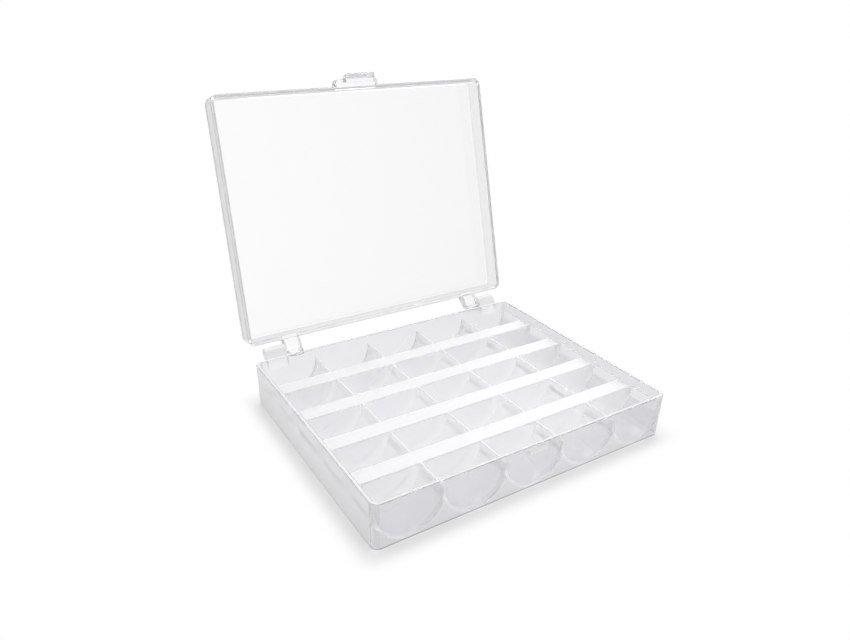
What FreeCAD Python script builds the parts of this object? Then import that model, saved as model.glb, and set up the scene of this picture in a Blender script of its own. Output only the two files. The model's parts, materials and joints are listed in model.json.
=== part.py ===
import FreeCAD
import Part
import math
import os

# A clear bobbin box with its lid standing open.
# The base is a drafted skirt round five rows of five round-bottomed pockets. Flat hollow ribs part the
# rows, and thin dividers part the pockets of a row. The lid is a panel with a shallow skirt. It turns on
# two pins in knuckles behind the rear wall, and a tab on its front wall snaps over a catch on the base.
# Millimetres. X runs along the hinge, Y towards the hinge and Z up, from the middle of the underside.

# Overall sizes
box_width = 121.0
box_depth = 95.5
base_height = 17.0
lid_depth = 9.0
rim_gap = 0.1  # between the rims when the lid is closed

# Walls
skirt_wall = 1.4  # at the rim
panel_wall = 1.4
corner_radius = 3.0
base_draft = 0.5  # how far each wall of the base leans in at its foot
lid_draft = 0.3  # how far each wall of the lid leans in at the panel
panel_edge_radius = 0.8

# Pockets and the ribs between their rows
column_count = 5
row_count = 5
divider_wall = 0.9
pocket_wall = 1.0
rib_width = 6.5
rib_wall = 1.2
rib_end_radius = 2.4
rib_drop = 3.5  # from the rim down to the tops of the ribs and dividers
floor_gap = 0.3  # under the pockets, so that the skirt alone stands on the table

# Hinge
hinge_offset = 3.8  # from the rear wall's outer face to the axis
hinge_rise = 0.6  # from the base's rim up to the axis
knuckle_radius = 2.0
knuckle_length = 8.4
knuckle_inset = 5.5  # from the box's side to the knuckle's outer end
bracket_height = 4.5  # where the knuckle's lug meets the rear wall
arm_radius = 2.0
arm_length = 6.5
arm_height = 5.0  # where the arm meets the lid's rear wall
hinge_side_gap = 0.3  # between an arm and its knuckle
pin_radius = 1.1
pin_clearance = 0.05
pin_end_gap = 0.6  # from the pin's end to the knuckle's outer end
open_angle = 105.0
stop_gap = 0.05  # between an arm's toe and the rear wall when the lid stands open

# Latch
catch_width = 8.0
catch_height = 1.7
catch_proud = 0.9
catch_drop = 0.7  # from the rim down to the catch's top
latch_pad_width = 18.8
latch_pad_height = 4.5
latch_pad_proud = 3.0
latch_pad_radius = 2.2
tab_width = 13.0
tab_wall = 1.7
bead_height = 0.8
bead_depth = 0.3
lip_reach = 1.5
lip_height = 1.4
lip_radius = 1.2
latch_clearance = 0.1  # between the tab's bead and the catch's face
latch_play = 0.3  # between the bead and the catch's underside when closed

# Places worked out from the sizes above
inner_width = box_width - 2 * skirt_wall
inner_depth = box_depth - 2 * skirt_wall
inner_corner = corner_radius - skirt_wall
column_pitch = inner_width / column_count
pocket_length = (inner_depth - (row_count - 1) * rib_width) / row_count
row_pitch = pocket_length + rib_width
pocket_radius = (column_pitch - divider_wall) / 2
pocket_top = base_height - rib_drop
arc_height = floor_gap + pocket_wall + pocket_radius
lid_rim = base_height + rim_gap
lid_top = lid_rim + lid_depth
panel_underside = lid_top - panel_wall
front_face = -box_depth / 2
rear_face = box_depth / 2
axis_y = rear_face + hinge_offset
axis_z = base_height + hinge_rise
knuckle_outer = box_width / 2 - knuckle_inset
knuckle_inner = knuckle_outer - knuckle_length
arm_outer = knuckle_inner - hinge_side_gap
arm_inner = arm_outer - arm_length
catch_top = base_height - catch_drop
catch_foot = catch_top - catch_height
bead_top = catch_foot - latch_play
tab_foot = bead_top - bead_height
bead_face = front_face - catch_proud - latch_clearance
tab_back = bead_face - bead_depth
tab_front = tab_back - tab_wall
lip_front = tab_front - lip_reach

# Spare length of a cutting solid beyond what it cuts
overcut = 1.0
sides = {"left": -1, "right": 1}


def point(x, y, z):
    return FreeCAD.Vector(x, y, z)


def block(x_span, y_span, z_span):
    """A box between the two ends of each span."""
    low = point(min(x_span), min(y_span), min(z_span))
    high = point(max(x_span), max(y_span), max(z_span))
    size = high - low
    return Part.makeBox(size.x, size.y, size.z, low)


def cylinder_along(direction, radius, start, length):
    return Part.makeCylinder(radius, length, start, direction)


def rounded_outline(width, depth, radius, z):
    """A rectangle with round corners, centred on the Z axis."""
    edges = []
    corners = [(1, 1, 0), (-1, 1, 90), (-1, -1, 180), (1, -1, 270)]
    circles = []
    for x_side, y_side, start_angle in corners:
        centre = point(x_side * (width / 2 - radius), y_side * (depth / 2 - radius), z)
        circles.append(Part.makeCircle(radius, centre, point(0, 0, 1), start_angle, start_angle + 90))
    for circle, following in zip(circles, circles[1:] + circles[:1]):
        edges.append(circle)
        edges.append(Part.makeLine(circle.lastVertex(True).Point, following.firstVertex(True).Point))
    return Part.Wire(edges)


def prism(outline, height):
    return Part.Face(outline).extrude(point(0, 0, height))


def along_x(corners, x_span):
    """A solid with this outline of (y, z) corners, running along X."""
    start = min(x_span)
    points = [point(start, y, z) for y, z in corners]
    return Part.Face(Part.makePolygon(points + points[:1])).extrude(point(max(x_span) - start, 0, 0))


def tangent_point(outside_y, outside_z, radius, turn):
    """Where a line from an outside point touches a circle about the hinge axis: turn 1 above, -1 below."""
    run = axis_y - outside_y
    rise = axis_z - outside_z
    distance = math.hypot(run, rise)
    angle = math.atan2(rise, run) + turn * math.asin(radius / distance)
    length = math.sqrt(distance**2 - radius**2)
    return outside_y + length * math.cos(angle), outside_z + length * math.sin(angle)


def hinge_lug(low_z, high_z, radius, x_span):
    """A lug from inside the rear wall, between two heights, to a round end about the hinge axis."""
    start = min(x_span)
    inside_y = rear_face - skirt_wall / 2
    low_tangent = tangent_point(rear_face, low_z, radius, -1)
    high_tangent = tangent_point(rear_face, high_z, radius, 1)
    top_run = [high_tangent, (rear_face, high_z), (inside_y, high_z)]
    bottom_run = [(inside_y, low_z), (rear_face, low_z), low_tangent]
    points = [point(start, y, z) for y, z in top_run + bottom_run]
    round_end = Part.Arc(points[-1], point(start, axis_y + radius, axis_z), points[0]).toShape()
    outline = Part.Wire(Part.makePolygon(points).Edges + [round_end])
    return Part.Face(outline).extrude(point(max(x_span) - start, 0, 0))


def front_tongue(width, front_y, radius, z_span):
    """A solid against the front wall with round outer corners. It starts inside the wall."""
    back_y = front_face + skirt_wall / 2
    depth = back_y - front_y
    whole = prism(rounded_outline(width, 2 * depth, radius, min(z_span)), max(z_span) - min(z_span))
    whole.translate(point(0, back_y, 0))
    half = block((-width, width), (front_y - overcut, back_y), z_span)
    return whole.common(half)


def drafted_body(foot_lean, top_lean, z_span):
    """A filled box with leaning walls and round upright corners. The leans are taken off each wall."""
    rings = []
    for z, lean in zip(z_span, (foot_lean, top_lean)):
        half_x = box_width / 2 - lean
        half_y = box_depth / 2 - lean
        signs = [(1, 1), (-1, 1), (-1, -1), (1, -1)]
        rings.append([point(x_sign * half_x, y_sign * half_y, z) for x_sign, y_sign in signs])
    foot, top = rings
    outlines = [foot[::-1], top]
    for n in range(len(foot)):
        outlines.append([foot[n - 1], foot[n], top[n], top[n - 1]])
    faces = [Part.Face(Part.makePolygon(outline + outline[:1])) for outline in outlines]
    body = Part.Solid(Part.Shell(faces))
    upright_edges = [edge for edge in body.Edges if edge.BoundBox.ZLength > (max(z_span) - min(z_span)) / 2]
    return body.makeFillet(corner_radius, upright_edges)


def base_body():
    """The base's filled outer shape, which leans in towards its foot."""
    return drafted_body(base_draft, 0, (0, base_height))


def lid_body():
    """The lid's filled outer shape, closed, which leans in towards its panel."""
    body = drafted_body(0, lid_draft, (lid_rim, lid_top))
    top_edges = [edge for edge in body.Edges if edge.BoundBox.ZMin > lid_top - panel_edge_radius / 2]
    return body.makeFillet(panel_edge_radius, top_edges)


def inner_space(z_span):
    """The room inside the walls."""
    outline = rounded_outline(inner_width, inner_depth, inner_corner, min(z_span))
    return prism(outline, max(z_span) - min(z_span))


def pocket_body(length):
    """A filled pocket of this length, one column wide, with a round underside."""
    y_span = (-length / 2, length / 2)
    shoulder = min(arc_height, pocket_top - divider_wall)
    start = point(0, -length / 2, arc_height)
    drum = cylinder_along(point(0, 1, 0), pocket_radius + pocket_wall, start, length)
    neck = block((-column_pitch / 2, column_pitch / 2), y_span, (shoulder, pocket_top))
    room = block((-column_pitch / 2, column_pitch / 2), y_span, (floor_gap, pocket_top))
    return drum.fuse(neck).common(room).removeSplitter()


def pocket_space(length):
    """The room in a pocket, where a bobbin lies."""
    start = point(0, -length / 2, arc_height)
    drum = cylinder_along(point(0, 1, 0), pocket_radius, start, length)
    mouth_top = max(pocket_top, arc_height) + overcut
    mouth = block((-pocket_radius, pocket_radius), (-length / 2, length / 2), (arc_height, mouth_top))
    return drum.fuse(mouth)


def column_x(column):
    return (column - (column_count - 1) / 2) * column_pitch


def row_y(row):
    return (row - (row_count - 1) / 2) * row_pitch


def make_pockets():
    """One trough per bobbin. Row 1 is at the front and column 1 on the left."""
    trough = pocket_body(pocket_length).cut(pocket_space(pocket_length + 2 * overcut))
    within = inner_space((0, base_height))
    pockets = {}
    for row in range(row_count):
        for column in range(column_count):
            pocket = trough.translated(point(column_x(column), row_y(row), 0))
            if row in (0, row_count - 1) and column in (0, column_count - 1):
                pocket = pocket.common(within)
            pockets[f"pocket_r{row + 1}_c{column + 1}"] = pocket
    return pockets


def make_rib():
    """The hollow rib between two rows. Its sides are the pockets' end walls, with their round undersides."""
    bodies = [pocket_body(rib_width).translated(point(column_x(n), 0, 0)) for n in range(column_count)]
    rib = bodies[0].multiFuse(bodies[1:]).removeSplitter()
    channel_end = inner_width / 2 - rib_end_radius - rib_wall
    channel_side = rib_width / 2 - rib_wall
    channel_z = (floor_gap - overcut, pocket_top - rib_wall)
    rib = rib.cut(block((-channel_end, channel_end), (-channel_side, channel_side), channel_z))
    end_edges = [
        edge
        for edge in rib.Edges
        if edge.BoundBox.ZMin > pocket_top - rib_end_radius / 2 and edge.BoundBox.XLength < rib_wall / 2
    ]
    return rib.makeFillet(rib_end_radius, end_edges)


def make_ribs():
    rib = make_rib()
    ribs = {}
    for number in range(1, row_count):
        middle_y = (row_y(number - 1) + row_y(number)) / 2
        ribs[f"row_rib_{number}"] = rib.translated(point(0, middle_y, 0))
    return ribs


def make_knuckle(side, body):
    """A bored knuckle on its lug behind the base's rear wall."""
    x_span = (side * knuckle_inner, side * knuckle_outer)
    lug = hinge_lug(base_height - bracket_height, base_height, knuckle_radius, x_span)
    bore_radius = pin_radius + pin_clearance
    bore_start = point(min(x_span) - overcut, axis_y, axis_z)
    bore = cylinder_along(point(1, 0, 0), bore_radius, bore_start, knuckle_length + 2 * overcut)
    return lug.cut(body).cut(bore)


def make_catch(body):
    """The catch on the base's front wall, with a sloped top that leads the tab over it."""
    inside_y = front_face + skirt_wall / 2
    proud_y = front_face - catch_proud
    slope_foot = catch_foot + catch_height / 2
    corners = [
        (inside_y, catch_foot),
        (proud_y, catch_foot),
        (proud_y, slope_foot),
        (front_face, catch_top),
        (inside_y, catch_top),
    ]
    return along_x(corners, (-catch_width / 2, catch_width / 2)).cut(body)


def make_base():
    body = base_body()
    parts = {"base_skirt": body.cut(inner_space((-overcut, base_height + overcut)))}
    parts.update(make_pockets())
    parts.update(make_ribs())
    for name, side in sides.items():
        parts[f"hinge_knuckle_{name}"] = make_knuckle(side, body)
    parts["latch_catch"] = make_catch(body)
    return parts


def open_lid(shape):
    """Turns a piece of the closed lid about the hinge axis to where the lid stands open."""
    turned = shape.copy()
    turned.rotate(point(0, axis_y, axis_z), point(1, 0, 0), -open_angle)
    return turned


def make_arm(side, body):
    """A lid arm about the hinge axis. Its toe meets the base's rear wall and stops the open lid."""
    x_span = (side * arm_inner, side * arm_outer)
    arm = open_lid(hinge_lug(lid_rim, lid_rim + arm_height, arm_radius, x_span).cut(body))
    toe = block(x_span, (rear_face + stop_gap, axis_y), (axis_z - arm_radius, axis_z))
    return arm.fuse(toe).removeSplitter()


def make_pin(side):
    """The pin on an arm's outer side, in the knuckle's bore."""
    length = hinge_side_gap + knuckle_length - pin_end_gap
    return cylinder_along(point(side, 0, 0), pin_radius, point(side * arm_outer, axis_y, axis_z), length)


def make_latch_pad(body):
    """The pad on the lid's front wall that carries the tab."""
    pad_front = front_face - latch_pad_proud
    pad = front_tongue(latch_pad_width, pad_front, latch_pad_radius, (lid_rim, lid_rim + latch_pad_height))
    return pad.cut(body)


def make_latch_tab():
    """The snap tab, with a bead inside that goes under the catch and a thumb lip outside."""
    corners = [
        (tab_back, lid_rim),
        (tab_back, bead_top + bead_depth),
        (bead_face, bead_top),
        (bead_face, tab_foot),
        (lip_front, tab_foot),
        (lip_front, tab_foot + lip_height),
        (tab_front, tab_foot + lip_height + lip_reach),
        (tab_front, lid_rim),
    ]
    tab = along_x(corners, (-tab_width / 2, tab_width / 2))
    return tab.common(front_tongue(tab_width, lip_front, lip_radius, (tab_foot, lid_rim)))


def make_lid():
    body = lid_body()
    below_panel = block((-box_width, box_width), (-box_depth, box_depth), (lid_rim, panel_underside))
    walls = body.common(below_panel).cut(inner_space((lid_rim - overcut, lid_top)))
    parts = {
        "lid_skirt": open_lid(walls),
        "lid_panel": open_lid(body.cut(below_panel)),
        "latch_pad": open_lid(make_latch_pad(body)),
        "latch_tab": open_lid(make_latch_tab()),
    }
    for name, side in sides.items():
        parts[f"hinge_arm_{name}"] = make_arm(side, body)
        parts[f"hinge_pin_{name}"] = make_pin(side)
    return parts


os.makedirs("parts", exist_ok=True)
for node, shape in {**make_base(), **make_lid()}.items():
    shape.exportStep(f"parts/{node}.step")
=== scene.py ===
import json
import math

import bmesh
import bpy
from mathutils import Matrix, Vector

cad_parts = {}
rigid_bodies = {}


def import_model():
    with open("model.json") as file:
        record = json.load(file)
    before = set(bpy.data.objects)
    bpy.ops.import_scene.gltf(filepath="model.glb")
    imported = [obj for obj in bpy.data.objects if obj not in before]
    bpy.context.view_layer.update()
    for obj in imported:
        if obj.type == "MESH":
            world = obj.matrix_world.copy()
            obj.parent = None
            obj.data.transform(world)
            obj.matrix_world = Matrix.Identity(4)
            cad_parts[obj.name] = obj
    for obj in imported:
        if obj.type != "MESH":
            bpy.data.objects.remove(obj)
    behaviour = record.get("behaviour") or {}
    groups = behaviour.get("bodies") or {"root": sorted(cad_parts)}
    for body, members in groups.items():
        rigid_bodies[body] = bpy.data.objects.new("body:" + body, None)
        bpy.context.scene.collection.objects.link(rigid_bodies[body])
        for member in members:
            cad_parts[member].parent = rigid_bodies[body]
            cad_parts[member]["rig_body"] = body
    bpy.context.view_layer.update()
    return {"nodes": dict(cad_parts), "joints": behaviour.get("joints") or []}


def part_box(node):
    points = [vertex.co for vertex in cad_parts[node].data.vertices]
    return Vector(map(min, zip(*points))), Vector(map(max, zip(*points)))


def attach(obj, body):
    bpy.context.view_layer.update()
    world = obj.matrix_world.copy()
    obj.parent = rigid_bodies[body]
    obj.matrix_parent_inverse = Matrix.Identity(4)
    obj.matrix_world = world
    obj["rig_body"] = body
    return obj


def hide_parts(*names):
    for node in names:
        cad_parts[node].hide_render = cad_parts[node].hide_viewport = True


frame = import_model()

# A clear bobbin box with its lid open. Each of its two mouldings is one seamless mesh of clear
# styrene, because faces inside a clear solid would show. Metres, in the frame's own axes.
MM = 0.001
row_count = 5
column_count = 5
hinge_sides = ("left", "right")


def closing_turn(angle):
    """A turn about the hinge axis. A positive angle closes the lid."""
    pivot = Matrix.Translation(hinge_axis)
    return pivot @ Matrix.Rotation(angle, 4, "X") @ pivot.inverted()


def closed_box(node):
    """The lowest and highest corners of a piece of the lid when the lid is closed."""
    close = closing_turn(open_angle)
    places = [close @ v.co for v in frame["nodes"][node].data.vertices]
    low = Vector(min(p[n] for p in places) for n in range(3))
    high = Vector(max(p[n] for p in places) for n in range(3))
    return low, high


# Sizes read from the frame
lid_hinge = frame["joints"][0]
hinge_axis = Vector(lid_hinge["pos_m"])
open_angle = math.radians(lid_hinge["range_deg"][1])
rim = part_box("base_skirt")[1]
middle_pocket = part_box("pocket_r3_c3")
corner_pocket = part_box("pocket_r1_c1")
ribs = [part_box(f"row_rib_{n}") for n in range(1, row_count)]
knuckles = [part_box(f"hinge_knuckle_{side}") for side in hinge_sides]
arms = [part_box(f"hinge_arm_{side}") for side in hinge_sides]
pins = [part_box(f"hinge_pin_{side}") for side in hinge_sides]
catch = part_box("latch_catch")
lid_rim = closed_box("lid_skirt")[0]
lid_panel = closed_box("lid_panel")
latch_pad = closed_box("latch_pad")
latch_tab = closed_box("latch_tab")
inner_half_width = ribs[0][1].x
inner_half_depth = -corner_pocket[0].y
column_pitch = middle_pocket[1].x - middle_pocket[0].x
pocket_top = middle_pocket[1].z
pocket_foot = middle_pocket[0].z
knuckle_radius = knuckles[0][1].z - hinge_axis.z
pin_radius = pins[0][1].z - hinge_axis.z

# Sizes of the moulding that no node's box gives
base_draft = 0.5 * MM
lid_draft = 0.3 * MM
corner_radius = 3.0 * MM
divider_wall = 0.9 * MM
pocket_wall = 1.0 * MM
rib_wall = 1.2 * MM
rib_end_radius = 2.4 * MM
edge_radius = 0.3 * MM
small_edge_radius = 0.2 * MM
bore_edge_radius = 0.1 * MM
inner_edge_radius = 0.5 * MM
panel_edge_radius = 0.8 * MM
bracket_height = 4.5 * MM
arm_height = 5.0 * MM
pin_clearance = 0.05 * MM
latch_pad_radius = 2.2 * MM
tab_wall = 1.7 * MM
tab_root = 1.0 * MM  # how far the tab and pins reach into what carries them, and cutters past what they cut
bead_height = 0.8 * MM
bead_depth = 0.3 * MM
lip_reach = 1.5 * MM
lip_height = 1.4 * MM
lip_radius = 1.2 * MM
foot_line = 0.6 * MM  # how high the foot's band of painted contact shade is
end_highlight_line = 1.2 * MM  # how wide the painted highlight line is where the pockets run into the end walls
overlap = 0.15 * MM  # how far joined solids reach into each other
level_tolerance = 0.01 * MM  # how far from a plane a face's middle may lie and still be on it
merge_distance = 0.001 * MM

# Clear plastics. The haze in their skin shows most at a slant: blend is how soon it shows and most is its
# largest share. Glow is how much of it is lit from behind. A shade is the share of the light that each face
# lets through, first of the soft light all round and then of the lamps. The skirt's darker colour and haze
# are painted shade on the base's walls and on the hollows seen through them, and the lid's grey haze is
# painted shade on its walls seen at a slant.
skirt_finish = {
    "colour": (0.82, 0.817, 0.842),
    "haze_and_shade_colour": (0.88, 0.876, 0.902),
    "haze_blend": 0.26,
    "haze_most": 0.75,
    "haze_glow": 0.65,
    "shades": (0.83, 0.76),
}
tray_finish = {
    "colour": (0.984, 0.981, 0.995),
    "haze_and_shade_colour": (0.97, 0.966, 0.988),
    "haze_blend": 0.58,
    "haze_most": 0.88,
    "haze_glow": 0.62,
    "shades": (0.985, 0.97),
}
lid_finish = {
    "colour": (0.99, 0.989, 0.994),
    "haze_and_shade_colour": (0.7, 0.7, 0.71),
    "haze_blend": 0.24,
    "haze_most": 1.0,
    "haze_glow": 0.1,
    "shades": (0.97, 0.9),
}
haze_least = 0.01
plastic_ior = 1.57
plastic_roughness = (0.02, 0.1)
polish_scale = 60
polish_detail = 4
flow_scale = 90
flow_detail = 2
flow_strength = 0.05
flow_depth = 0.2 * MM

# Frosted plastic, for the pale tops and lines, which are partly frost and partly painted highlight, and a
# dark copy for the foot, which is painted contact shade
frost_and_highlight_colour = (0.95, 0.947, 0.957)
foot_painted_shade_colour = (0.5, 0.5, 0.505)
frost_clearness = 0.3
frost_roughness = 0.45
grain_scale = 900
grain_strength = 0.2
grain_depth = 0.05 * MM

# The base's plastics, in the order of its material slots
SKIRT, TRAY, FROSTED_HIGHLIGHT, PAINTED_SHADE_FOOT = range(4)

# Floor, light and camera, with angles in degrees and the lens and its sensor in millimetres
floor_size = 6
floor_colour = (0.94, 0.94, 0.94)
fade_end = 0.008
seen_rays = ["Is Camera Ray", "Is Glossy Ray", "Is Transmission Ray"]
world_light = 0.67
world_seen = 1.0
lamp_azimuth = 55
lamp_distance = 0.8
lamp_size = 0.6
top_elevation = 72
top_brightness = 1.8
back_elevation = 33
back_brightness = 1.3
camera_sensor = 36
camera_lens = 31.08
camera_shift = (0.0037, -0.0478)
camera_nearest = 0.01
camera_place = (-0.13907, -0.19397, 0.15608)
camera_turn = (67.328, -1.330, -31.887)
most_bounces = 48

# Places worked out from those
skirt_wall = rim.x - inner_half_width
pocket_radius = (column_pitch - divider_wall) / 2
arc_height = pocket_foot + pocket_wall + pocket_radius
column_places = [(n - (column_count - 1) / 2) * column_pitch for n in range(column_count)]
channel_end = inner_half_width - rib_end_radius - rib_wall
channel_top = pocket_top - rib_wall
tray_half_width = inner_half_width + overlap
tray_half_depth = inner_half_depth + overlap
front_face = -rim.y
rear_face = rim.y

# How finely curves are divided, and how faces are shaded
ARC_STEPS = 48
EDGE_STEPS = 4
CORNER_STEPS = 10
round_profile = 0.5  # the bevel profile that is a true arc
sharp_angle = math.radians(35)
fewest_corners_cut = 5  # a face with this many corners or more is cut into triangles


def arc(centre, radius, start, end, steps):
    """Points of an arc in a plane, with its angles in degrees."""
    points = []
    for n in range(steps + 1):
        angle = math.radians(start + (end - start) * n / steps)
        points.append((centre[0] + radius * math.cos(angle), centre[1] + radius * math.sin(angle)))
    return points


def new_object(name, data):
    made = bpy.data.objects.new(name, data)
    bpy.context.scene.collection.objects.link(made)
    return made


def piece_from_bmesh(name, shape):
    bmesh.ops.recalc_face_normals(shape, faces=shape.faces)
    mesh = bpy.data.meshes.new(name)
    shape.to_mesh(mesh)
    shape.free()
    return new_object(name, mesh)


def joined(target, others, operation="UNION"):
    """The target with the other pieces joined to it or cut from it. The other pieces are used up."""
    for other in others:
        modifier = target.modifiers.new(other.name, "BOOLEAN")
        modifier.operation = operation
        modifier.solver = "EXACT"
        modifier.object = other
    depsgraph = bpy.context.evaluated_depsgraph_get()
    mesh = bpy.data.meshes.new_from_object(target.evaluated_get(depsgraph))
    target.modifiers.clear()
    target.data = mesh
    for other in others:
        bpy.data.objects.remove(other)
    return target


def rounded_loop(half_x, half_y, radius, z):
    """Points round a rectangle with round corners."""
    corners = [(1, 1, 0), (-1, 1, 90), (-1, -1, 180), (1, -1, 270)]
    points = []
    for x_side, y_side, start in corners:
        centre = (x_side * (half_x - radius), y_side * (half_y - radius))
        points += [Vector((x, y, z)) for x, y in arc(centre, radius, start, start + 90, CORNER_STEPS)]
    return points


def wall_loops(section):
    """Loops round the box at each (inset, z) of a wall's section. The inset is from the rim's outer face."""
    return [rounded_loop(rim.x - inset, rim.y - inset, corner_radius - inset, z) for inset, z in section]


def skinned(name, loops, ring):
    """A solid with faces between successive loops, closed as a ring or by filling its end loops."""
    shape = bmesh.new()
    rows = [[shape.verts.new(p) for p in loop] for loop in loops]
    pairs = list(zip(rows, rows[1:]))
    if ring:
        pairs.append((rows[-1], rows[0]))
    else:
        shape.faces.new(rows[0])
        shape.faces.new(rows[-1])
    for first, second in pairs:
        for n in range(len(first)):
            shape.faces.new((first[n - 1], first[n], second[n], second[n - 1]))
    return piece_from_bmesh(name, shape)


def fill_sides(shape, ends):
    """Closes two matching outlines into a solid."""
    for end in ends:
        shape.faces.new(end)
    for n in range(len(ends[0])):
        shape.faces.new((ends[0][n - 1], ends[0][n], ends[1][n], ends[1][n - 1]))


def round_edges(shape, radius):
    bmesh.ops.recalc_face_normals(shape, faces=shape.faces)
    sharp = [edge for edge in shape.edges if edge.calc_face_angle() > sharp_angle]
    bmesh.ops.bevel(
        shape,
        geom=sharp,
        offset=radius,
        segments=EDGE_STEPS,
        profile=round_profile,
        affect="EDGES",
        clamp_overlap=True,
    )


def prism(name, outline, x_span, radius=edge_radius):
    """A solid with this outline of (y, z) points, running along X, with round edges."""
    shape = bmesh.new()
    ends = [[shape.verts.new((x, y, z)) for y, z in outline] for x in x_span]
    fill_sides(shape, ends)
    round_edges(shape, radius)
    return piece_from_bmesh(name, shape)


def tangent_angles(outside, radius):
    """Where, in degrees, the two lines from an outside (y, z) point touch a circle on the hinge axis."""
    run = outside[0] - hinge_axis.y
    rise = outside[1] - hinge_axis.z
    towards = math.degrees(math.atan2(rise, run)) % 360
    spread = math.degrees(math.acos(radius / math.hypot(run, rise)))
    return towards - spread, towards + spread


def hinge_circle(radius):
    """Points of a whole circle on the hinge axis."""
    return arc((hinge_axis.y, hinge_axis.z), radius, 0, 360 - 360 / ARC_STEPS, ARC_STEPS - 1)


def lug_outline(low_z, high_z, radius):
    """A lug's section from inside the rear wall to a round end on the hinge axis."""
    inside = rear_face - skirt_wall / 2
    top_touch = tangent_angles((rear_face, high_z), radius)[0]
    foot_touch = tangent_angles((rear_face, low_z), radius)[1] - 360
    round_end = arc((hinge_axis.y, hinge_axis.z), radius, foot_touch, top_touch, ARC_STEPS // 2)
    return [(inside, low_z), (rear_face, low_z)] + round_end + [(rear_face, high_z), (inside, high_z)]


def trough_line():
    """The tray's upper side across X: ledges and dividers with troughs between them."""
    ledge = [tray_half_width, inner_half_width]
    points = [(-x, pocket_top) for x in ledge]
    for x in column_places:
        mouth = pocket_radius + edge_radius
        points += arc((x - mouth, pocket_top - edge_radius), edge_radius, 90, 0, EDGE_STEPS)
        points += arc((x, arc_height), pocket_radius, 180, 360, ARC_STEPS)
        points += arc((x + mouth, pocket_top - edge_radius), edge_radius, 180, 90, EDGE_STEPS)
    return points + [(x, pocket_top) for x in reversed(ledge)]


def lobe_line():
    """The tray's underside across X as (x, z, whether it is in the ribs' channels)."""
    radius = pocket_radius + pocket_wall
    start = 180 + math.degrees(math.acos(column_pitch / 2 / radius))
    points = []
    for x in column_places:
        points += arc((x, arc_height), radius, start, 540 - start, ARC_STEPS)
    foot = points[0][1]
    points = [(-tray_half_width, foot)] + points + [(tray_half_width, foot)]
    line = []
    for n, (x, z) in enumerate(points):
        before = points[n - 1][0] if n else x
        for end in (-channel_end, channel_end):
            if before < end <= x:
                entering = end < 0
                line += [(end, z, not entering), (end, z, entering)]
        line.append((x, z, abs(x) < channel_end))
    return line


def rib_end_line(x):
    """The height of a rib's top, whose ends are rounded off beside the side walls."""
    past_start = min(max(abs(x) - inner_half_width + rib_end_radius, 0), rib_end_radius)
    return pocket_top - rib_end_radius + math.sqrt(rib_end_radius**2 - past_start**2)


def upper_row(y, least):
    """Points across the tray's upper side at one y. Least is a rib's height there, or 0 off the ribs."""
    row = []
    for x, z in trough_line():
        if least:
            z = min(max(z, least), rib_end_line(x))
        row.append((x, y, z))
    return row


def tray_rows():
    """Rows of points over the tray's upper side and its underside."""
    line_place = inner_half_depth - end_highlight_line
    upper_stations = [(-tray_half_depth, 0), (-line_place, 0)]
    under_stations = [(-tray_half_depth, False)]
    for low, high in ribs:
        corner_z = pocket_top - edge_radius
        front_edge = arc((low.y + edge_radius, corner_z), edge_radius, 180, 90, EDGE_STEPS)
        rear_edge = arc((high.y - edge_radius, corner_z), edge_radius, 90, 0, EDGE_STEPS)
        upper_stations += [(low.y, 0)] + front_edge + rear_edge + [(high.y, 0)]
        front_wall = low.y + rib_wall
        rear_wall = high.y - rib_wall
        under_stations += [(front_wall, False), (front_wall, True), (rear_wall, True), (rear_wall, False)]
    upper_stations += [(line_place, 0), (tray_half_depth, 0)]
    under_stations.append((tray_half_depth, False))
    upper = [upper_row(y, least) for y, least in upper_stations]
    under = []
    for y, in_channel in under_stations:
        under.append([(x, y, channel_top if in_channel and hollow else z) for x, z, hollow in lobe_line()])
    return upper, under


def make_tray():
    """The pockets, dividers and hollow ribs as one shell."""
    shape = bmesh.new()
    sheets = []
    for rows in tray_rows():
        sheets.append([[shape.verts.new(p) for p in row] for row in rows])
    for sheet in sheets:
        for first, second in zip(sheet, sheet[1:]):
            for n in range(1, len(first)):
                shape.faces.new((first[n - 1], first[n], second[n], second[n - 1]))
    upper, under = sheets
    shape.faces.new(upper[0] + under[0][::-1])
    shape.faces.new(upper[-1] + under[-1][::-1])
    for side in (0, -1):
        shape.faces.new([row[side] for row in upper] + [row[side] for row in under][::-1])
    bmesh.ops.remove_doubles(shape, verts=shape.verts, dist=merge_distance)
    bmesh.ops.dissolve_degenerate(shape, dist=merge_distance, edges=shape.edges)
    return piece_from_bmesh("tray", shape)


def make_base_skirt():
    """The base's four walls, which lean in towards the foot."""
    top = rim.z - edge_radius
    lean = base_draft / (top - edge_radius)
    section = arc((base_draft + edge_radius, edge_radius), edge_radius, 270, 180, EDGE_STEPS)
    section.append((base_draft - lean * (foot_line - edge_radius), foot_line))
    section += arc((edge_radius, top), edge_radius, 180, 90, EDGE_STEPS)
    section += arc((skirt_wall - edge_radius, top), edge_radius, 90, 0, EDGE_STEPS)
    section += arc((skirt_wall - edge_radius, edge_radius), edge_radius, 0, -90, EDGE_STEPS)
    return skinned("base_skirt_walls", wall_loops(section), True)


def bored(piece, x_span, radius):
    """The piece with a round hole along the hinge axis."""
    drill_span = (x_span[0] - tab_root, x_span[1] + tab_root)
    drill = prism("drill", hinge_circle(radius), drill_span, bore_edge_radius)
    return joined(piece, [drill], "DIFFERENCE")


def make_knuckles():
    """The base's knuckles, bored for the lid's pins."""
    made = []
    for low, high in knuckles:
        outline = lug_outline(rim.z - bracket_height, rim.z - edge_radius, knuckle_radius)
        lug = prism("knuckle", outline, (low.x, high.x))
        made.append(bored(lug, (low.x, high.x), pin_radius + pin_clearance))
    return made


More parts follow.
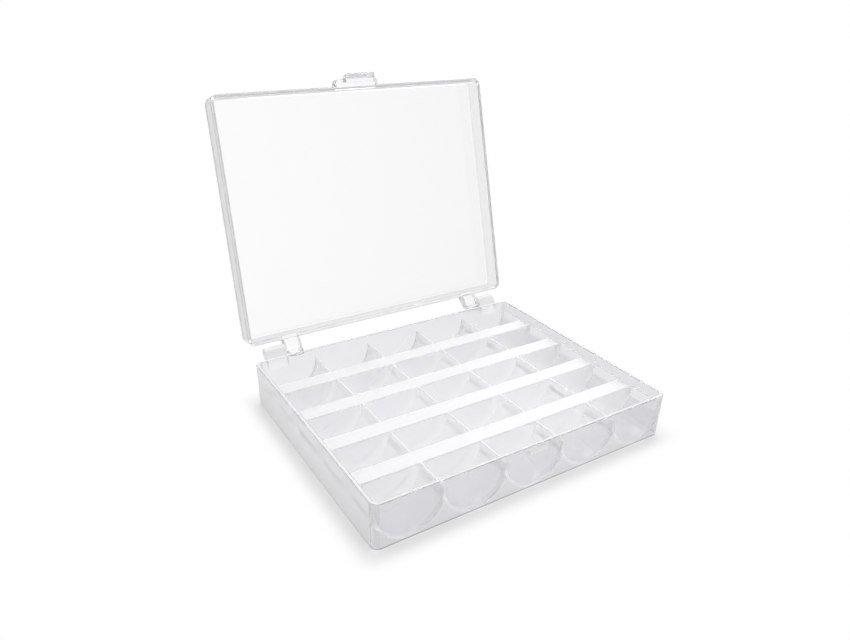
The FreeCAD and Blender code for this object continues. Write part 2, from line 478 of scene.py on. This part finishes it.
def make_catch():
    """The wedge on the front wall that the latch snaps under."""
    low, high = catch
    inside = front_face + skirt_wall / 2
    slope_foot = (low.z + high.z) / 2
    outline = [(inside, low.z), (low.y, low.z), (low.y, slope_foot), (front_face, high.z), (inside, high.z)]
    return prism("catch", outline, (low.x, high.x), small_edge_radius)


def make_lid_shell():
    """The closed lid's panel and walls."""
    shoulder = lid_panel[0].z - inner_edge_radius
    foot = lid_rim.z + edge_radius
    top = lid_panel[1].z - panel_edge_radius
    section = arc((skirt_wall + inner_edge_radius, shoulder), inner_edge_radius, 90, 180, EDGE_STEPS)
    section += arc((skirt_wall - edge_radius, foot), edge_radius, 0, -90, EDGE_STEPS)
    section += arc((edge_radius, foot), edge_radius, 270, 180, EDGE_STEPS)
    section += arc((lid_draft + panel_edge_radius, top), panel_edge_radius, 180, 90, EDGE_STEPS * 2)
    return skinned("lid_shell", wall_loops(section), False)


def make_arms():
    """The lid's arms, turned closed, with the toes that stop the open lid."""
    made = []
    for low, high in arms:
        outline = lug_outline(lid_rim.z + edge_radius, lid_rim.z + arm_height, knuckle_radius)
        made.append(prism("arm", outline, (low.x, high.x)))
        toe_foot = hinge_axis.z - knuckle_radius
        toe_outline = [
            (low.y, toe_foot),
            (hinge_axis.y, toe_foot),
            (hinge_axis.y, hinge_axis.z),
            (low.y, hinge_axis.z),
        ]
        toe = prism("toe", toe_outline, (low.x + overlap, high.x - overlap))
        toe.data.transform(closing_turn(open_angle))
        made.append(toe)
    return made


def make_pins():
    """The lid's hinge pins, which point away from each other."""
    made = []
    for low, high in pins:
        inner, outer = (low.x, high.x) if low.x > 0 else (high.x, low.x)
        start = inner - math.copysign(tab_root, inner)
        made.append(prism("pin", hinge_circle(pin_radius), sorted((start, outer))))
    return made


def tongue(name, low, high, back_y, radius):
    """A block from back_y to a front face with round corners, with round edges."""
    left = arc((low.x + radius, low.y + radius), radius, 180, 270, CORNER_STEPS)
    right = arc((high.x - radius, low.y + radius), radius, 270, 360, CORNER_STEPS)
    outline = left + right + [(high.x, back_y), (low.x, back_y)]
    shape = bmesh.new()
    ends = [[shape.verts.new((x, y, z)) for x, y in outline] for z in (low.z, high.z)]
    fill_sides(shape, ends)
    round_edges(shape, edge_radius)
    return piece_from_bmesh(name, shape)


def make_latch():
    """The pad on the lid's front wall and its snap tab."""
    pad = tongue("pad", *latch_pad, front_face + skirt_wall / 2, latch_pad_radius)
    low, high = latch_tab
    tab_front = high.y - bead_depth - tab_wall
    bead_top = low.z + bead_height
    root = latch_pad[0].z + tab_root
    outline = [
        (high.y - bead_depth, root),
        (high.y - bead_depth, bead_top + bead_depth),
        (high.y, bead_top),
        (high.y, low.z),
        (low.y, low.z),
        (low.y, low.z + lip_height),
        (tab_front, low.z + lip_height + lip_reach),
        (tab_front, root),
    ]
    tab = prism("tab", outline, (low.x, high.x), small_edge_radius)
    bounds_high = Vector((high.x, high.y, root + overlap))
    outer = tongue("tab_corners", low - Vector((0, 0, tab_root)), bounds_high, high.y + tab_root, lip_radius)
    return [pad, joined(tab, [outer], "INTERSECT")]


def is_frosted_or_highlight(face):
    """True for the tray's tops and pale lines, the rim's flat top, the knuckles and the catch. The pale
    lines and the rim's top are painted highlights; the tray's tops are partly frost and partly painted
    highlight.
    """
    middle = face.center
    if on_skirt(face):
        return middle.z > rim.z - level_tolerance or abs(middle.y) > rear_face + level_tolerance
    from_end = inner_half_depth - abs(middle.y)
    return middle.z > pocket_top - edge_radius or level_tolerance < from_end < end_highlight_line


def on_skirt(face):
    """True for the base's walls and what stands out from them, but not the rear wall's inner face."""
    middle = face.center
    past_side = abs(middle.x) > inner_half_width - level_tolerance
    past_front = middle.y < level_tolerance - inner_half_depth
    return past_side or past_front or middle.y > inner_half_depth + level_tolerance


def base_plastic(face):
    """Which of the base's plastics a face has."""
    # The band at the foot is painted contact shade.
    if on_skirt(face) and face.center.z < foot_line:
        return PAINTED_SHADE_FOOT
    if is_frosted_or_highlight(face):
        return FROSTED_HIGHLIGHT
    return SKIRT if on_skirt(face) else TRAY


def finish_piece(piece, body, materials):
    """Gives a piece smooth shading with true flat faces, its materials and the body that carries it."""
    mesh = piece.data
    mesh.polygons.foreach_set("use_smooth", [True] * len(mesh.polygons))
    mesh.set_sharp_from_angle(angle=sharp_angle)
    mesh.materials.clear()
    for material in materials:
        mesh.materials.append(material)
    normals = piece.modifiers.new("true_faces", "WEIGHTED_NORMAL")
    normals.keep_sharp = True
    triangles = piece.modifiers.new("triangles", "TRIANGULATE")
    triangles.min_vertices = fewest_corners_cut
    triangles.keep_custom_normals = True
    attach(piece, body)
    members = [name for name, node in frame["nodes"].items() if node["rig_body"] == body]
    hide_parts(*members)


def new_material(name):
    """A new material with its nodes and links."""
    material = bpy.data.materials.new(name)
    material.use_nodes = True
    return material, material.node_tree.nodes, material.node_tree.links


def any_ray(nodes, links, kinds):
    """A socket that is 1 for rays of the named kinds and 0 for other rays."""
    path = nodes.new("ShaderNodeLightPath")
    total = path.outputs[kinds[0]]
    for kind in kinds[1:]:
        larger = nodes.new("ShaderNodeMath")
        larger.operation = "MAXIMUM"
        links.new(total, larger.inputs[0])
        links.new(path.outputs[kind], larger.inputs[1])
        total = larger.outputs["Value"]
    return total


def let_light_through(nodes, links, surface, shades):
    """Ends a plastic's nodes so that soft light and the lamps' light go on through it, dimmed."""
    for kind, shade in zip(("Is Diffuse Ray", "Is Shadow Ray"), shades):
        through = nodes.new("ShaderNodeBsdfTransparent")
        through.inputs["Color"].default_value = (shade, shade, shade, 1)
        mix = nodes.new("ShaderNodeMixShader")
        links.new(any_ray(nodes, links, [kind]), mix.inputs["Fac"])
        links.new(surface, mix.inputs[1])
        links.new(through.outputs["BSDF"], mix.inputs[2])
        surface = mix.outputs["Shader"]
    links.new(surface, nodes["Material Output"].inputs["Surface"])


def clear_styrene(name, colour, haze_and_shade_colour, haze_blend, haze_most, haze_glow, shades):
    """Clear moulded plastic, with flow marks, uneven polish and haze in its skin. Dark colours given to it
    are painted shade, and a dark haze darkens it most at a slant.
    """
    material, nodes, links = new_material(name)
    clear = nodes["Principled BSDF"]
    clear.inputs["Base Color"].default_value = (*colour, 1)
    clear.inputs["Transmission Weight"].default_value = 1
    clear.inputs["IOR"].default_value = plastic_ior
    place = nodes.new("ShaderNodeTexCoord")
    polish = nodes.new("ShaderNodeTexNoise")
    polish.inputs["Scale"].default_value = polish_scale
    polish.inputs["Detail"].default_value = polish_detail
    polish_range = nodes.new("ShaderNodeMapRange")
    polish_range.inputs["To Min"].default_value = plastic_roughness[0]
    polish_range.inputs["To Max"].default_value = plastic_roughness[1]
    flow = nodes.new("ShaderNodeTexNoise")
    flow.inputs["Scale"].default_value = flow_scale
    flow.inputs["Detail"].default_value = flow_detail
    bump = nodes.new("ShaderNodeBump")
    bump.inputs["Strength"].default_value = flow_strength
    bump.inputs["Distance"].default_value = flow_depth
    links.new(place.outputs["Object"], polish.inputs["Vector"])
    links.new(polish.outputs["Fac"], polish_range.inputs["Value"])
    links.new(polish_range.outputs["Result"], clear.inputs["Roughness"])
    links.new(place.outputs["Object"], flow.inputs["Vector"])
    links.new(flow.outputs["Fac"], bump.inputs["Height"])
    links.new(bump.outputs["Normal"], clear.inputs["Normal"])
    haze = nodes.new("ShaderNodeBsdfDiffuse")
    haze.inputs["Color"].default_value = (*haze_and_shade_colour, 1)
    glow = nodes.new("ShaderNodeBsdfTranslucent")
    glow.inputs["Color"].default_value = (*haze_and_shade_colour, 1)
    scatter = nodes.new("ShaderNodeMixShader")
    scatter.inputs["Fac"].default_value = haze_glow
    links.new(haze.outputs["BSDF"], scatter.inputs[1])
    links.new(glow.outputs["BSDF"], scatter.inputs[2])
    slant = nodes.new("ShaderNodeLayerWeight")
    slant.inputs["Blend"].default_value = haze_blend
    haze_share = nodes.new("ShaderNodeMapRange")
    haze_share.inputs["To Min"].default_value = haze_least
    haze_share.inputs["To Max"].default_value = haze_most
    hazy = nodes.new("ShaderNodeMixShader")
    links.new(slant.outputs["Facing"], haze_share.inputs["Value"])
    links.new(haze_share.outputs["Result"], hazy.inputs["Fac"])
    links.new(clear.outputs["BSDF"], hazy.inputs[1])
    links.new(scatter.outputs["Shader"], hazy.inputs[2])
    let_light_through(nodes, links, hazy.outputs["Shader"], shades)
    return material


def frosted_styrene(name, colour):
    """Finely grained plastic that is only partly clear. Its pale colour is partly painted highlight on the
    tops and lines; its dark colour is painted contact shade on the foot.
    """
    material, nodes, links = new_material(name)
    shader = nodes["Principled BSDF"]
    shader.inputs["Base Color"].default_value = (*colour, 1)
    shader.inputs["Transmission Weight"].default_value = frost_clearness
    shader.inputs["IOR"].default_value = plastic_ior
    shader.inputs["Roughness"].default_value = frost_roughness
    place = nodes.new("ShaderNodeTexCoord")
    grain = nodes.new("ShaderNodeTexNoise")
    grain.inputs["Scale"].default_value = grain_scale
    bump = nodes.new("ShaderNodeBump")
    bump.inputs["Strength"].default_value = grain_strength
    bump.inputs["Distance"].default_value = grain_depth
    links.new(place.outputs["Object"], grain.inputs["Vector"])
    links.new(grain.outputs["Fac"], bump.inputs["Height"])
    links.new(bump.outputs["Normal"], shader.inputs["Normal"])
    let_light_through(nodes, links, shader.outputs["BSDF"], tray_finish["shades"])
    return material


def make_floor():
    """A pale floor that keeps the shadow close to the box and runs out to white."""
    bpy.ops.mesh.primitive_plane_add(size=floor_size)
    floor = bpy.context.object
    floor.name = "floor"
    material, nodes, links = new_material("pale_floor")
    shader = nodes["Principled BSDF"]
    shader.inputs["Base Color"].default_value = (*floor_colour, 1)
    shader.inputs["Roughness"].default_value = 1
    shader.inputs["Specular IOR Level"].default_value = 0
    white = nodes.new("ShaderNodeEmission")
    white.inputs["Color"].default_value = (1, 1, 1, 1)
    place = nodes.new("ShaderNodeTexCoord")
    sides = nodes.new("ShaderNodeVectorMath")
    sides.operation = "ABSOLUTE"
    past = nodes.new("ShaderNodeVectorMath")
    past.operation = "SUBTRACT"
    past.inputs[1].default_value = (rim.x, rim.y, 0)
    outside = nodes.new("ShaderNodeVectorMath")
    outside.operation = "MAXIMUM"
    outside.inputs[1].default_value = (0, 0, 0)
    away = nodes.new("ShaderNodeVectorMath")
    away.operation = "LENGTH"
    fade = nodes.new("ShaderNodeMapRange")
    fade.interpolation_type = "SMOOTHSTEP"
    fade.inputs["From Max"].default_value = fade_end
    share = nodes.new("ShaderNodeMath")
    share.operation = "MULTIPLY"
    mix = nodes.new("ShaderNodeMixShader")
    links.new(place.outputs["Object"], sides.inputs[0])
    links.new(sides.outputs["Vector"], past.inputs[0])
    links.new(past.outputs["Vector"], outside.inputs[0])
    links.new(outside.outputs["Vector"], away.inputs[0])
    links.new(away.outputs["Value"], fade.inputs["Value"])
    links.new(fade.outputs["Result"], share.inputs[0])
    links.new(any_ray(nodes, links, seen_rays), share.inputs[1])
    links.new(share.outputs["Value"], mix.inputs["Fac"])
    links.new(shader.outputs["BSDF"], mix.inputs[1])
    links.new(white.outputs["Emission"], mix.inputs[2])
    links.new(mix.outputs["Shader"], nodes["Material Output"].inputs["Surface"])
    floor.data.materials.append(material)


def make_world():
    """White where it is seen or mirrored, and soft light all round."""
    world = bpy.data.worlds.new("studio")
    bpy.context.scene.world = world
    world.use_nodes = True
    nodes = world.node_tree.nodes
    links = world.node_tree.links
    background = nodes["Background"]
    background.inputs["Color"].default_value = (1, 1, 1, 1)
    strength = nodes.new("ShaderNodeMapRange")
    strength.inputs["To Min"].default_value = world_light
    strength.inputs["To Max"].default_value = world_seen
    links.new(any_ray(nodes, links, seen_rays), strength.inputs["Value"])
    links.new(strength.outputs["Result"], background.inputs["Strength"])
    world.cycles.sampling_method = "NONE"


def make_softbox(name, elevation, brightness):
    """A square lamp that faces the box. Its azimuth is from +X towards +Y."""
    data = bpy.data.lights.new(name, "AREA")
    data.shape = "SQUARE"
    data.size = lamp_size
    data.energy = brightness * math.pi * lamp_size**2
    lamp = new_object(name, data)
    turn = math.radians(lamp_azimuth)
    lift = math.radians(elevation)
    towards = Vector((math.cos(lift) * math.cos(turn), math.cos(lift) * math.sin(turn), math.sin(lift)))
    lamp.location = towards * lamp_distance
    lamp.rotation_euler = towards.to_track_quat("Z", "Y").to_euler()
    lamp.visible_camera = False


def make_camera():
    """The camera where the photograph was taken from."""
    data = bpy.data.cameras.new("camera")
    data.sensor_width = camera_sensor
    data.lens = camera_lens
    data.shift_x, data.shift_y = camera_shift
    data.clip_start = camera_nearest
    camera = new_object("camera", data)
    camera.location = camera_place
    camera.rotation_euler = [math.radians(angle) for angle in camera_turn]
    bpy.context.scene.camera = camera


base = joined(make_base_skirt(), [make_tray(), *make_knuckles(), make_catch()])
base.name = "base_moulding"
base_plastics = [
    clear_styrene("skirt_clear_styrene", **skirt_finish),
    clear_styrene("tray_clear_styrene", **tray_finish),
    # The frosted tops and lines are partly painted highlight.
    frosted_styrene("rib_frosted_highlight_styrene", frost_and_highlight_colour),
    # The dark foot is painted contact shade along the base's bottom edges.
    frosted_styrene("foot_painted_shade_styrene", foot_painted_shade_colour),
]
finish_piece(base, "base", base_plastics)
for face in base.data.polygons:
    face.material_index = base_plastic(face)
lid = joined(make_lid_shell(), [*make_arms(), *make_pins(), *make_latch()])
lid.name = "lid_moulding"
lid.data.transform(closing_turn(-open_angle))
finish_piece(lid, "lid", [clear_styrene("lid_clear_styrene", **lid_finish)])

make_floor()
make_world()
make_softbox("top_softbox", top_elevation, top_brightness)
make_softbox("back_softbox", back_elevation, back_brightness)
make_camera()
scene = bpy.context.scene
scene.view_settings.view_transform = "Standard"
scene.cycles.max_bounces = most_bounces
scene.cycles.transmission_bounces = most_bounces
scene.cycles.glossy_bounces = most_bounces
scene.cycles.transparent_max_bounces = most_bounces
